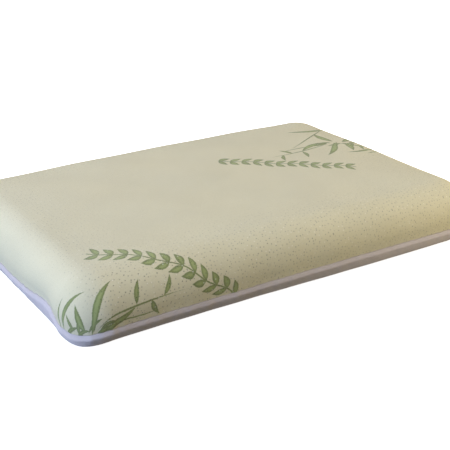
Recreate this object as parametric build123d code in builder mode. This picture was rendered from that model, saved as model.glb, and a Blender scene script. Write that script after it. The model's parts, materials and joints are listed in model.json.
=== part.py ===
"""Memory-foam bed pillow in a two-panel knitted cover with a zip along the back.

Frame: millimetres, +Z up. The origin is the middle of the footprint, on the surface that the
pillow rests on. +X runs along the long side, and +Y points at the side that has the zip.

Every soft layer is a copy of one outline, moved inwards: a rounded rectangle with a large round
shoulder above the sides, a small round foot below them and a shallow spherical crown.
"""

import os

from build123d import *

# ---------------------------------------------------------------- driving dimensions
LENGTH = 600.0
WIDTH = 400.0
HEIGHT = 86.0
CORNER = 50.0  # radius of the four corners, seen from above
SHOULDER = 44.0  # radius between the sides and the crown
FOOT = 24.0  # radius between the sides and the underside
CROWN = 5.0  # how much lower the outline's corners are than its middle
SEAM_HEIGHT = 25.0  # where the top panel and the bottom panel meet

FABRIC = 3.0  # knitted cover
LINING = 0.8  # thin jersey sock round the foam
EASE = 5.0  # room between the cover's side walls and the sock
TOP_EASE = 0.2
CORE_SHOULDER = 41.0
CORE_FOOT = 26.0

ALLOWANCE = 7.0  # width of the turned-in seam edges
ALLOWANCE_LAYER = 1.2  # one pressed layer of turned-in cover fabric
OVERLOCK = 0.4  # thickness of the thread that wraps the turned-in edges

SLOT_HALF = 232.0  # half the length of the zip's slot
SLOT_HALF_HEIGHT = 6.5
HEM_WIDTH = 8.0  # folded edge round the slot
HEM = 2.6  # its thickness
TAPE = 0.6
TAPE_HALF_HEIGHT = 16.5
CHAIN_GAP = 0.7  # from the zip's middle line to the edge of each tape
CHAIN_HEIGHT = 2.4  # one coil, across the zip
CHAIN_DEPTH = 2.4  # one coil, away from the tape
STITCH_OFFSET = 2.4  # from the slot's edge to the row of stitches
STITCH = 0.5

SLIDER_REST = 218.0  # middle of the slider with the zip closed
SLIDER_TRAVEL = 426.0  # the pull lies in the slot at both ends of it
SLIDER_LENGTH = 14.0
SLIDER_PLATE = 1.0
SLIDER_RUNNING_GAP = 0.15
SLIDER_BACK_GAP = 0.7
PIN_RADIUS = 0.5
PULL_THICKNESS = 1.2
PULL_WIDTH = 6.0
PULL_LENGTH = 22.0

LABEL_WIDTH = 30.0
LABEL_THICKNESS = 0.6
LABEL_MIDDLE = 75.0  # Y of the label's middle, on the right-hand end
LABEL_TAIL = 4.2
LABEL_END = 7.0  # height of the label's free edge

# ---------------------------------------------------------------- derived dimensions
crown_radius = ((LENGTH / 2) ** 2 + (WIDTH / 2) ** 2 + CROWN**2) / (2 * CROWN)
back = WIDTH / 2
slot_top = SEAM_HEIGHT + SLOT_HALF_HEIGHT
slot_bottom = SEAM_HEIGHT - SLOT_HALF_HEIGHT
hem_inset = FABRIC + HEM  # the tapes lie behind the hem
tape_inset = hem_inset + TAPE
chain_face = hem_inset - CHAIN_DEPTH
hem_reach = SLOT_HALF + HEM_WIDTH
core_side = FABRIC + EASE


def pillow_form(side, floor=None, top=None, shoulder=None, foot=None):
    """The pillow's outline moved inwards, by one distance or by its own on the sides, floor and top."""
    floor = side if floor is None else floor
    top = side if top is None else top
    shoulder = SHOULDER - side if shoulder is None else shoulder
    foot = FOOT - side if foot is None else foot
    with BuildPart() as form:
        with BuildSketch(Plane.XY.offset(floor)):
            RectangleRounded(LENGTH - 2 * side, WIDTH - 2 * side, CORNER - side)
        extrude(amount=HEIGHT)
        with Locations((0, 0, HEIGHT - crown_radius)):
            Sphere(crown_radius - top, rotation=(90, 0, 0), mode=Mode.INTERSECT)
        fillet(form.faces().sort_by(Axis.Z)[-1].edges(), radius=shoulder)
        fillet(form.faces().sort_by(Axis.Z)[0].edges(), radius=foot)
    return form.part


def block(x_range, y_range, z_range):
    """A box between three pairs of limits."""
    sizes = [high - low for low, high in (x_range, y_range, z_range)]
    middle = tuple((high + low) / 2 for low, high in (x_range, y_range, z_range))
    with BuildPart() as made:
        with Locations(middle):
            Box(*sizes)
    return made.part


def wall(outer_inset, inner_inset):
    """A layer that follows the pillow's surface, between two distances inside it."""
    with BuildPart() as made:
        add(forms[outer_inset])
        add(forms[inner_inset], mode=Mode.SUBTRACT)
    return made.part


far = LENGTH  # a limit that is safely outside the pillow
forms = {
    inset: pillow_form(inset)
    for inset in (
        -STITCH,
        -LABEL_THICKNESS,
        0.0,
        FABRIC,
        FABRIC + ALLOWANCE_LAYER,
        FABRIC + 2 * ALLOWANCE_LAYER,
        FABRIC + 2 * ALLOWANCE_LAYER + OVERLOCK,
        hem_inset,
        tape_inset,
    )
}

above_seam = block((-far, far), (-far, far), (SEAM_HEIGHT, far))
below_seam = block((-far, far), (-far, far), (-far, SEAM_HEIGHT))
zip_slot = block((-SLOT_HALF, SLOT_HALF), (back - 2 * CORNER, far), (slot_bottom, slot_top))
hem_zone = block(
    (-hem_reach, hem_reach),
    (back - CORNER, far),
    (slot_bottom - HEM_WIDTH, slot_top + HEM_WIDTH),
)
label_zone = (LABEL_MIDDLE - LABEL_WIDTH / 2, LABEL_MIDDLE + LABEL_WIDTH / 2)
label_tail = block(
    (LENGTH / 2 - LABEL_TAIL, LENGTH / 2),
    label_zone,
    (SEAM_HEIGHT - LABEL_THICKNESS / 2, SEAM_HEIGHT + LABEL_THICKNESS / 2),
)

# ---------------------------------------------------------------- cover panels
cover_wall = wall(0.0, FABRIC)
hem_wall = wall(FABRIC, hem_inset)

with BuildPart() as hem_frame:
    add(hem_wall)
    add(hem_zone, mode=Mode.INTERSECT)
    add(zip_slot, mode=Mode.SUBTRACT)


def turned_in_edge(outer_inset, inner_inset, z_range):
    """A ring of turned-in fabric along the seam, left out where the zip is."""
    with BuildPart() as ring:
        add(wall(outer_inset, inner_inset))
        add(block((-far, far), (-far, far), z_range), mode=Mode.INTERSECT)
        add(hem_zone, mode=Mode.SUBTRACT)
    return ring.part


allowance_inner = FABRIC + ALLOWANCE_LAYER
allowance_outer = FABRIC + 2 * ALLOWANCE_LAYER
edge_top = SEAM_HEIGHT + ALLOWANCE
seam_floor = SEAM_HEIGHT - ALLOWANCE_LAYER

with BuildPart() as cover_top_panel:
    add(cover_wall)
    add(turned_in_edge(FABRIC, allowance_inner, (SEAM_HEIGHT, edge_top)))
    add(hem_frame.part)
    add(above_seam, mode=Mode.INTERSECT)
    add(zip_slot, mode=Mode.SUBTRACT)
    add(label_tail, mode=Mode.SUBTRACT)

with BuildPart() as cover_bottom_panel:
    add(cover_wall)
    add(hem_frame.part)
    add(below_seam, mode=Mode.INTERSECT)
    add(turned_in_edge(FABRIC, allowance_outer, (seam_floor, SEAM_HEIGHT)))
    add(turned_in_edge(allowance_inner, allowance_outer, (seam_floor, edge_top)))
    add(zip_slot, mode=Mode.SUBTRACT)
    add(label_tail, mode=Mode.SUBTRACT)

# ---------------------------------------------------------------- seam threads
with BuildPart() as cover_seam_thread:
    add(turned_in_edge(allowance_outer, allowance_outer + OVERLOCK, (seam_floor, edge_top)))
    add(turned_in_edge(FABRIC, allowance_outer + OVERLOCK, (edge_top, edge_top + OVERLOCK)))


def stitch_row(z_middle):
    """A raised row of thread on the cover's outside, along one edge of the zip's slot."""
    with BuildPart() as row:
        add(wall(-STITCH, 0.0))
        zone = (z_middle - STITCH / 2, z_middle + STITCH / 2)
        add(block((-SLOT_HALF, SLOT_HALF), (back - CORNER, far), zone), mode=Mode.INTERSECT)
    return row


zip_stitching_upper = stitch_row(slot_top + STITCH_OFFSET)
zip_stitching_lower = stitch_row(slot_bottom - STITCH_OFFSET)

# ---------------------------------------------------------------- foam and its sock
core_limits = {"floor": FABRIC, "top": FABRIC + TOP_EASE, "shoulder": CORE_SHOULDER, "foot": CORE_FOOT}
foam_limits = {
    "floor": FABRIC + LINING,
    "top": FABRIC + TOP_EASE + LINING,
    "shoulder": CORE_SHOULDER - LINING,
    "foot": CORE_FOOT - LINING,
}

with BuildPart() as foam_core:
    add(pillow_form(core_side + LINING, **foam_limits))

with BuildPart() as liner_sock:
    add(pillow_form(core_side, **core_limits))
    add(foam_core.part, mode=Mode.SUBTRACT)

# The sock is closed by one ridge of overlock thread across its left-hand end.
LINER_SEAM_HEIGHT = 32.0
LINER_SEAM_HALF = 140.0
LINER_SEAM = 1.6
sock_end = -LENGTH / 2 + core_side
with BuildPart() as liner_seam_thread:
    with BuildSketch(Plane.XZ.offset(-LINER_SEAM_HALF)):
        with Locations((sock_end - LINER_SEAM / 2, LINER_SEAM_HEIGHT)):
            RectangleRounded(LINER_SEAM, 2 * LINER_SEAM, LINER_SEAM / 3)
    extrude(amount=2 * LINER_SEAM_HALF)
    fillet(liner_seam_thread.edges().group_by(Axis.Y)[-1], radius=LINER_SEAM / 5)

# ---------------------------------------------------------------- zip: tapes, coils and stops
tape_wall = wall(hem_inset, tape_inset)


def zip_tape(z_range):
    """One woven tape, flat against the back of the hem."""
    with BuildPart() as tape:
        add(tape_wall)
        add(block((-hem_reach, hem_reach), (back - CORNER, far), z_range), mode=Mode.INTERSECT)
    return tape


zip_tape_upper = zip_tape((SEAM_HEIGHT + CHAIN_GAP, SEAM_HEIGHT + TAPE_HALF_HEIGHT))
zip_tape_lower = zip_tape((SEAM_HEIGHT - TAPE_HALF_HEIGHT, SEAM_HEIGHT - CHAIN_GAP))


def zip_coil(side):
    """The room that one nylon coil takes on its tape: side is 1 above the middle line, -1 below."""
    middle = SEAM_HEIGHT + side * (CHAIN_GAP + CHAIN_HEIGHT / 2)
    with BuildPart() as coil:
        with BuildSketch(Plane.YZ.offset(-SLOT_HALF)):
            with Locations((back - (chain_face + hem_inset) / 2, middle)):
                RectangleRounded(CHAIN_DEPTH, CHAIN_HEIGHT, CHAIN_DEPTH / 4)
        extrude(amount=2 * SLOT_HALF)
    return coil


zip_coil_upper = zip_coil(1)
zip_coil_lower = zip_coil(-1)

STOP_LENGTH = 2.4
STOP_PROUD = 0.6  # how far a stop stands over the coil
STOP_OVERHANG = 0.9  # how far a stop's bent ends stand beside the coils
STOP_HEIGHT = CHAIN_GAP + CHAIN_HEIGHT + STOP_OVERHANG
STOP_OFFSET = 2 * STOP_LENGTH / 3  # from the slider's end to the middle of a stop
stop_depth = (chain_face - STOP_PROUD, chain_face)
top_stop_x = SLIDER_REST + SLIDER_LENGTH / 2 + STOP_OFFSET
bottom_stop_x = SLIDER_REST - SLIDER_TRAVEL - SLIDER_LENGTH / 2 - STOP_OFFSET


def stop_clip(x_middle, z_low, z_high):
    """A pressed clip over the coils, with its two ends bent down beside them to the tape."""
    x_range = (x_middle - STOP_LENGTH / 2, x_middle + STOP_LENGTH / 2)
    with BuildPart() as clip:
        add(block(x_range, (back - stop_depth[1], back - stop_depth[0]), (z_low, z_high)))
        for z_foot in (z_low, z_high - STOP_PROUD):
            foot_y = (back - hem_inset, back - stop_depth[0])
            if abs(z_foot + STOP_PROUD / 2 - SEAM_HEIGHT) > CHAIN_HEIGHT:
                add(block(x_range, foot_y, (z_foot, z_foot + STOP_PROUD)))
        fillet(clip.edges().filter_by(Axis.X).group_by(Axis.Y)[-1], radius=STOP_PROUD / 2)
    return clip.part


with BuildPart() as zip_top_stops:
    add(stop_clip(top_stop_x, SEAM_HEIGHT + CHAIN_GAP / 2, SEAM_HEIGHT + STOP_HEIGHT))
    add(stop_clip(top_stop_x, SEAM_HEIGHT - STOP_HEIGHT, SEAM_HEIGHT - CHAIN_GAP / 2))

with BuildPart() as zip_bottom_stop:
    add(stop_clip(bottom_stop_x, SEAM_HEIGHT - STOP_HEIGHT, SEAM_HEIGHT + STOP_HEIGHT))

# ---------------------------------------------------------------- zip: slider and pull
outer_plate_y = back - chain_face + SLIDER_RUNNING_GAP
outer_plate_face = outer_plate_y + SLIDER_PLATE
back_plate_y = back - tape_inset - SLIDER_BACK_GAP
flange_tip_y = back - hem_inset + SLIDER_RUNNING_GAP
FLANGE_CLEARANCE = 0.25
flange_inner = CHAIN_GAP + CHAIN_HEIGHT + FLANGE_CLEARANCE
SLIDER_NOSE = 5.2  # half its width where the two coils enter
SLIDER_TAIL = 4.6
SLIDER_TIP = 3.7
SLIDER_ROUND = 1.2
SLIDER_EDGE = 0.35  # radius round the outer plate's face
SLIDER_SHOULDER = SLIDER_LENGTH / 6  # from its middle to its widest point
BRIDGE_WIDTH = 2.0
BRIDGE_HALF = 3.4
BRIDGE = 0.8
BRIDGE_ROUND = 0.9
EYE = 1.35  # height of the gap under the bridge
PIN_CLEARANCE = 0.02  # the pin sits this much nearer the bridge
pin_y = outer_plate_face + EYE / 2 + PIN_CLEARANCE
WEB_START = 1.0  # the web lies between the coils where they part, towards the nose
WEB_END = 5.5
WEB_CLEARANCE = 0.2


def slab(y_low, y_high):
    """The slider's outline between two depths: wide at the nose, narrower at the tail."""
    nose_x = SLIDER_REST + SLIDER_LENGTH / 2
    shoulder_x = SLIDER_REST + SLIDER_SHOULDER
    tail_x = SLIDER_REST - SLIDER_LENGTH / 2
    with BuildPart() as made:
        with BuildSketch(Plane.XZ.offset(-y_high)) as outline:
            with BuildLine():
                Polyline(
                    (tail_x, SEAM_HEIGHT - SLIDER_TAIL),
                    (shoulder_x, SEAM_HEIGHT - SLIDER_NOSE),
                    (nose_x, SEAM_HEIGHT - SLIDER_TIP),
                    (nose_x, SEAM_HEIGHT + SLIDER_TIP),
                    (shoulder_x, SEAM_HEIGHT + SLIDER_NOSE),
                    (tail_x, SEAM_HEIGHT + SLIDER_TAIL),
                    close=True,
                )
            make_face()
            fillet(outline.vertices(), radius=SLIDER_ROUND)
        extrude(amount=y_high - y_low)
    return made.part


with BuildPart() as flanges:
    add(slab(flange_tip_y, outer_plate_y))
    chain_zone = (SEAM_HEIGHT - flange_inner, SEAM_HEIGHT + flange_inner)
    add(block((-far, far), (-far, far), chain_zone), mode=Mode.SUBTRACT)

with BuildPart() as zip_slider:
    add(slab(outer_plate_y, outer_plate_face))
    fillet(zip_slider.edges().group_by(Axis.Y)[-1], radius=SLIDER_EDGE)
    add(slab(back_plate_y - SLIDER_PLATE, back_plate_y))
    add(flanges.part)  # they hold the two coils together
    # the web that joins the two plates between the coils
    web_half = CHAIN_GAP - WEB_CLEARANCE
    add(
        block(
            (SLIDER_REST + WEB_START, SLIDER_REST + WEB_END),
            (back_plate_y, outer_plate_y),
            (SEAM_HEIGHT - web_half, SEAM_HEIGHT + web_half),
        )
    )
    # the bridge that the pull hangs in
    with BuildSketch(Plane.XY.offset(SEAM_HEIGHT - BRIDGE_WIDTH / 2)) as bridge_side:
        with Locations((SLIDER_REST, outer_plate_face + (EYE + BRIDGE) / 2)):
            Rectangle(2 * BRIDGE_HALF, EYE + BRIDGE)
        fillet(bridge_side.vertices().group_by(Axis.Y)[-1], radius=BRIDGE_ROUND)
        with Locations((SLIDER_REST, outer_plate_face + EYE / 2)):
            Rectangle(2 * (BRIDGE_HALF - BRIDGE), EYE, mode=Mode.SUBTRACT)
    extrude(amount=BRIDGE_WIDTH)

WINDOW = 3.9  # from the pull's hinge to the solid part of the tab
ARM = 1.0
ARM_CLEARANCE = 0.35  # between each arm and the bridge
TAB_ROUND = 2.0
GRIP_HOLE = (5.0, 2.4)
GRIP_HOLE_IN = 5.0  # from the tab's free end to the middle of its hole
ROUNDING_MARGIN = 0.01  # a fillet of exactly half the thickness would leave no face
eye_end = SLIDER_REST + PULL_THICKNESS / 2
window_end = SLIDER_REST - WINDOW
tab_end = SLIDER_REST - PULL_LENGTH
arm_inner = BRIDGE_WIDTH / 2 + ARM_CLEARANCE
arm_outer = arm_inner + ARM
with BuildPart() as zip_pull:
    with BuildSketch(Plane.XZ.offset(-(pin_y + PULL_THICKNESS / 2))) as pull_outline:
        with BuildLine():
            Polyline(
                (eye_end, SEAM_HEIGHT - arm_outer),
                (eye_end, SEAM_HEIGHT + arm_outer),
                (window_end, SEAM_HEIGHT + arm_outer),
                (tab_end, SEAM_HEIGHT + PULL_WIDTH / 2),
                (tab_end, SEAM_HEIGHT - PULL_WIDTH / 2),
                (window_end, SEAM_HEIGHT - arm_outer),
                close=True,
            )
        make_face()
        fillet(pull_outline.vertices().group_by(Axis.X)[0], radius=TAB_ROUND)
        with Locations((SLIDER_REST - WINDOW / 2 + PULL_THICKNESS, SEAM_HEIGHT)):
            Rectangle(WINDOW + 2 * PULL_THICKNESS, 2 * arm_inner, mode=Mode.SUBTRACT)
        with Locations((tab_end + GRIP_HOLE_IN, SEAM_HEIGHT)):
            SlotOverall(*GRIP_HOLE, mode=Mode.SUBTRACT)
    extrude(amount=PULL_THICKNESS)
    # the arms' ends are round about the hinge, and a pin joins them
    eye_round = PULL_THICKNESS / 2 - ROUNDING_MARGIN
    fillet(zip_pull.edges().filter_by(Axis.Z).group_by(Axis.X)[-1], radius=eye_round)
    pin_half = arm_inner + ARM / 2
    with Locations((SLIDER_REST, pin_y, SEAM_HEIGHT)):
        Cylinder(PIN_RADIUS, 2 * pin_half)

# ---------------------------------------------------------------- care label
with BuildPart() as care_label:
    add(wall(-LABEL_THICKNESS, 0.0))
    label_face = (LABEL_END, SEAM_HEIGHT + LABEL_THICKNESS / 2)
    add(block((LENGTH / 2 - CORNER, far), label_zone, label_face), mode=Mode.INTERSECT)
    add(label_tail)

# ---------------------------------------------------------------- write one STEP per piece
pieces = {
    "foam_core": foam_core,
    "liner_sock": liner_sock,
    "liner_seam_thread": liner_seam_thread,
    "cover_top_panel": cover_top_panel,
    "cover_bottom_panel": cover_bottom_panel,
    "cover_seam_thread": cover_seam_thread,
    "zip_tape_upper": zip_tape_upper,
    "zip_tape_lower": zip_tape_lower,
    "zip_coil_upper": zip_coil_upper,
    "zip_coil_lower": zip_coil_lower,
    "zip_stitching_upper": zip_stitching_upper,
    "zip_stitching_lower": zip_stitching_lower,
    "zip_top_stops": zip_top_stops,
    "zip_bottom_stop": zip_bottom_stop,
    "zip_slider": zip_slider,
    "zip_pull": zip_pull,
    "care_label": care_label,
}
os.makedirs("parts", exist_ok=True)
for name, piece in pieces.items():
    piece.part.label = name
    export_step(piece.part, f"parts/{name}.step")
    print(name, len(piece.part.solids()), round(piece.part.volume), piece.part.bounding_box().size)
print("pull hinge", SLIDER_REST, round(pin_y, 4), SEAM_HEIGHT)
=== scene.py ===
import json
import math

import bpy
import numpy as np
from bpy.props import FloatProperty, FloatVectorProperty, PointerProperty
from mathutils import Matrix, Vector


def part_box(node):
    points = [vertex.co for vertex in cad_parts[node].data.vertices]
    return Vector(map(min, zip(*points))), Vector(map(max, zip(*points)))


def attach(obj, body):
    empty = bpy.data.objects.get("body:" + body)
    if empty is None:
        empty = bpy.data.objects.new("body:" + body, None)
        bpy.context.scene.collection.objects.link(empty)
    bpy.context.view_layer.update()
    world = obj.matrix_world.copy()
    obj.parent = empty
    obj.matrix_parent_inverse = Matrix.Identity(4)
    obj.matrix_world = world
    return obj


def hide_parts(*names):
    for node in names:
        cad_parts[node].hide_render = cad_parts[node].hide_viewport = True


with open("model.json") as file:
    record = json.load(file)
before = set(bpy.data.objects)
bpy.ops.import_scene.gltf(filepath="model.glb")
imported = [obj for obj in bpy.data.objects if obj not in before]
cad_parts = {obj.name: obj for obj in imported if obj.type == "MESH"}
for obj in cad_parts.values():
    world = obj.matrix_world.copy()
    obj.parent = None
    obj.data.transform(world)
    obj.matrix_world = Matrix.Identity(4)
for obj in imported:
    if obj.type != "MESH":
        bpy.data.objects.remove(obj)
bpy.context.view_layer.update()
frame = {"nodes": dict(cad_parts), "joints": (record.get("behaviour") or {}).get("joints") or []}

bl_info = {
    "name": "Foam Bed Pillow",
    "version": (1, 0, 0),
    "blender": (4, 5, 0),
    "location": "3D View > Sidebar > Pillow",
    "description": "Dresses a foam pillow in its knitted cover, with seams, zip, sock and label",
    "category": "Object",
}

TOP_LOW, TOP_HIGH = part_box("cover_top_panel")
CORE_LOW, CORE_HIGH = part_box("liner_sock")
COIL_LOW, COIL_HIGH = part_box("zip_coil_upper")
TAPE_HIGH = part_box("zip_tape_upper")[1]
LABEL_LOW, LABEL_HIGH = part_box("care_label")


def length(name, about, default, **more):
    """A size property in metres."""
    return FloatProperty(
        name=name, description=about, default=default, unit="LENGTH", precision=4, **more
    )


def colour(name, about, default):
    """A colour property, as linear red, green and blue."""
    return FloatVectorProperty(
        name=name, description=about, default=default, subtype="COLOR", size=3, min=0, max=1
    )


# ---------------------------------------------------------------- what a user may change
class PillowSizes(bpy.types.PropertyGroup):
    """Sizes of the pillow and of its cover."""

    long_side: length("Length", "Long side of the cover", TOP_HIGH.x - TOP_LOW.x)
    short_side: length("Width", "Short side of the cover", TOP_HIGH.y - TOP_LOW.y)
    height: length("Height", "Height at the middle", 0.086)
    seam: length("Seam height", "Height of the seam between the two panels", 0.025)
    corner: length("Corner", "Radius of the corners, seen from above", 0.050)
    shoulder: length("Shoulder", "Radius between the sides and the crown", 0.044)
    foot: length("Foot", "Radius between the sides and the underside", 0.024)
    crown: length("Crown", "How much lower the corners are than the middle", 0.005)
    fabric: length("Cover fabric", "Thickness of the knit", 0.003)
    fold: length("Seam fold", "Radius of the knit where it turns into the seam", 0.0021)
    slot_half: length("Slot length", "Half the length of the zip's slot", 0.232)
    slot_rise: length("Slot height", "Half the height of the zip's slot", 0.0065)


class PillowDrape(bpy.types.PropertyGroup):
    """How the knit sits on the foam."""

    tuck: length("Tuck", "How far the sides draw in towards the seam", 0.0020)
    belly: length("Belly", "How far the lower panel stands out under the seam", 0.0008)
    under: length("Turn under", "How much faster the lower panel turns under the pillow", 0.0034)
    bow: length("Bow", "How far a side pulls in between its corners", 0.0020)
    ear: length("Ears", "How far the corners stand out", 0.0008)
    pucker: length("Pucker", "Height of the small gathers along the seam", 0.00035)
    hitch: length("Hitch", "How far the seam is drawn up near the front left corner", 0.0075)
    hitch_in: length("Hitch depth", "How far it is drawn in there", 0.0032)
    hitch_out: length("Corner bulge", "How far the corner beside it stands out", 0.0022)
    sag: length("Corner sag", "How far the seam hangs down at the corner beside it", 0.0048)
    foot_out: length("Corner foot", "How far the foot of that corner stands out", 0.0065)
    ripple: length("Ripple", "Height of the slow waves in the upper face", 0.0005)


class PillowColours(bpy.types.PropertyGroup):
    """Colours of the fabrics and of the fittings."""

    cream: colour("Cream knit", "Ground of the upper panel", (0.680, 0.632, 0.424))
    leaf: colour("Leaf green", "Light green of the pattern", (0.315, 0.378, 0.122))
    leaf_deep: colour("Deep green", "Dark green of the pattern", (0.150, 0.190, 0.050))
    white: colour("White knit", "Lower panel", (0.575, 0.518, 0.512))
    foam: colour("Foam", "Foam core", (0.87, 0.80, 0.58))
    jersey: colour("Jersey", "Sock round the foam", (0.84, 0.84, 0.82))
    thread: colour("Thread", "Seam thread", (0.80, 0.79, 0.77))
    tape: colour("Zip tape", "Woven tape", (0.76, 0.76, 0.74))
    nylon: colour("Nylon", "Zip coil", (0.80, 0.79, 0.76))
    enamel: colour("Enamel", "Slider, pull and stops", (0.74, 0.73, 0.70))
    zinc: colour("Bare zinc", "Metal where the enamel has rubbed off", (0.45, 0.45, 0.46))
    satin: colour("Satin", "Label", (0.86, 0.86, 0.85))


class PillowStage(bpy.types.PropertyGroup):
    """The camera."""

    lens: FloatProperty(name="Lens", description="Focal length in mm", default=75.4)
    eye: FloatVectorProperty(
        name="Eye", description="Camera position", default=(-0.632, -1.010, 0.5235), unit="LENGTH"
    )
    heading: FloatProperty(
        name="Heading", description="Turn from +Y towards +X", default=0.5706, subtype="ANGLE"
    )
    dip: FloatProperty(
        name="Dip", description="Angle below the horizon", default=0.4014, subtype="ANGLE"
    )


GROUPS = {
    "pillow_sizes": PillowSizes,
    "pillow_drape": PillowDrape,
    "pillow_colours": PillowColours,
    "pillow_stage": PillowStage,
}


# ---------------------------------------------------------------- shader writing
class Wire:
    """A socket that Python's arithmetic works on. Each operator adds one Math node."""

    def __init__(self, paint, socket):
        self.paint = paint
        self.socket = socket

    def math(self, operation, *others):
        values = dict(enumerate((self, *others)))
        return self.paint.node("ShaderNodeMath", {"operation": operation}, values)

    def __add__(self, other):
        return self.math("ADD", other)

    def __sub__(self, other):
        return self.math("SUBTRACT", other)

    def __rsub__(self, other):
        return self.paint.node("ShaderNodeMath", {"operation": "SUBTRACT"}, {0: other, 1: self})

    def __mul__(self, other):
        return self.math("MULTIPLY", other)

    def __truediv__(self, other):
        return self.math("DIVIDE", other)

    def __abs__(self):
        return self.math("ABSOLUTE")

    __radd__ = __add__
    __rmul__ = __mul__

    def step(self, low, high):
        """0 below low, 1 above high, smooth between. It falls instead if low is above high."""
        if low > high:
            return 1 - self.step(high, low)
        settings = {"interpolation_type": "SMOOTHSTEP"}
        return self.paint.node("ShaderNodeMapRange", settings, {0: self, 1: low, 2: high})


class Paint:
    """A material whose nodes are written as expressions."""

    def __init__(self, name, **constants):
        self.material = bpy.data.materials.new(name)
        self.material.use_nodes = True
        self.nodes = self.material.node_tree.nodes
        self.links = self.material.node_tree.links
        self.shader = self.nodes["Principled BSDF"]
        for socket, value in constants.items():
            self.shader.inputs[socket.replace("_", " ")].default_value = value

    def node(self, kind, settings=None, values=None, output=0):
        """Adds a node: its settings first, then the values or links of its sockets."""
        made = self.nodes.new(kind)
        for name, value in (settings or {}).items():
            setattr(made, name, value)
        for name, value in (values or {}).items():
            if isinstance(value, Wire):
                self.links.new(value.socket, made.inputs[name])
            else:
                made.inputs[name].default_value = value
        return Wire(self, made.outputs[output])

    def place(self):
        """Position on the object, in metres."""
        return self.node("ShaderNodeTexCoord", output="Object")

    def cloth(self):
        """Position on the flat fabric, in metres, and the distance from the seam as Z."""
        return self.node("ShaderNodeAttribute", {"attribute_name": "cloth"}, output="Vector")

    def scaled(self, vector, factor):
        """vector times factor, axis by axis."""
        return self.node("ShaderNodeVectorMath", {"operation": "MULTIPLY"}, {0: vector, 1: factor})

    def part(self, vector, axis):
        return self.node("ShaderNodeSeparateXYZ", None, {0: vector}, output=axis)

    def join(self, x, y, z=0.0):
        return self.node("ShaderNodeCombineXYZ", None, {0: x, 1: y, 2: z})

    def dot(self, vector, by):
        settings = {"operation": "DOT_PRODUCT"}
        return self.node("ShaderNodeVectorMath", settings, {0: vector, 1: by}, output="Value")

    def noise(self, vector, scale, detail=2.0, rough=0.5):
        values = {"Vector": vector, "Scale": scale, "Detail": detail, "Roughness": rough}
        return self.node("ShaderNodeTexNoise", None, values)

    def cells(self, vector, scale, spread=1.0, output="Distance"):
        settings = {"voronoi_dimensions": "2D", "feature": "F1"}
        values = {"Vector": vector, "Scale": scale, "Randomness": spread}
        return self.node("ShaderNodeTexVoronoi", settings, values, output=output)

    def mix(self, factor, first, second, blend="MIX"):
        first, second = (
            x if isinstance(x, Wire) else (*x, 1.0) for x in (first, second)
        )
        settings = {"data_type": "RGBA", "blend_type": blend}
        return self.node("ShaderNodeMix", settings, {0: factor, 6: first, 7: second}, output=2)

    def tone(self, base, amount):
        """base, made darker or lighter by a factor that varies."""
        grey = self.node("ShaderNodeCombineColor", None, {0: amount, 1: amount, 2: amount})
        return self.mix(1.0, base, grey, "MULTIPLY")

    def bump(self, height, depth, strength=1.0, under=None):
        values = {"Height": height, "Distance": depth, "Strength": strength}
        if under is not None:
            values["Normal"] = under
        return self.node("ShaderNodeBump", None, values)

    def feed(self, **inputs):
        """Links what varies into the shader and returns the material."""
        for name, wire in inputs.items():
            self.links.new(wire.socket, self.shader.inputs[name.replace("_", " ")])
        return self.material


def wavy(turns):
    """A sine of whole turns, from 0 to 1."""
    return (turns * (2 * math.pi)).math("SINE") * 0.5 + 0.5


def knit_height(paint, cloth, wale, course):
    """Height of a knit's face, 0 to 1, for a wale's width and a course's height. Each wale is a V:
    the courses slant by half a loop towards its two sides, and a groove runs between neighbouring
    wales."""
    slant, groove_edge, groove_end = 0.55, 0.72, 0.97
    across = paint.part(cloth, "X") / wale
    along = paint.part(cloth, "Y") / course
    side = abs(across.math("FRACT") - 0.5) * 2.0
    return wavy(along + side * slant) * side.step(groove_end, groove_edge)


# ---------------------------------------------------------------- the leaf pattern
# Each leaf is base x, base y, tip x, tip y, half width and sideways bend, in mm, on the sprig's own
# axes: X along the garland, Y across it.
SPRIG = (
    (136, 97, 114, 68, 1.7, 3.0),
    (128, 100, 84, 66, 2.7, 5.0),
    (82, 107, 95, 78, 4.4, 2.5),
    (102, 105, 110, 85, 2.6, 1.0),
    (66, 107, 58, 48, 4.6, 4.5),
    (48, 104, 20, 62, 4.2, -4.5),
    (56, 104, 30, 84, 2.4, 2.0),
    (124, 107, 92, 101, 2.6, 1.5),
    (98, 112, 74, 106, 2.6, 2.0),
    (78, 114, 92, 164, 5.2, -4.0),
    (64, 114, 34, 150, 5.4, 4.0),
    (88, 112, 126, 134, 4.8, 4.0),
    (52, 184, -8, 150, 3.8, 4.0),
    (46, 182, 4, 70, 1.2, 2.5),
    (60, 104, -24, 24, 1.1, 3.0),
    (44, 92, -12, 52, 1.0, -2.5),
    (20, 60, 30, 34, 3.0, 2.0),
    (6, 48, -14, 58, 3.2, -2.0),
    (-6, 38, -2, 14, 2.8, -2.0),
    (70, 110, 70, 80, 3.4, -2.0),
    (60, 108, 38, 92, 2.8, -1.5),
    (94, 110, 88, 90, 3.0, 1.5),
    (76, 108, 56, 90, 2.4, 1.5),
)
SPRIG_TURN = math.radians(-39)  # direction of the garland on the fabric, from +X
SPRIG_MIDDLE = (-0.0267, -0.0925)  # in metres; the pattern is the same after half a turn about it
SPRIG_OFFSET = (144.2, 89.8)  # from there to the middle of a garland
GARLAND_HALF = 97.0  # half its length
GARLAND_PITCH = 16.2  # from one pair of leaves to the next
GARLAND_LEAF = (-6.8, 0.2, 7.6, 13.0, 4.1, 1.2)  # about the middle of its step, as in the table
GARLAND_WAVE = 2.0  # how far the stem swings
STEM_HALF = 0.9
MM_PER_M = 1000


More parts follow.
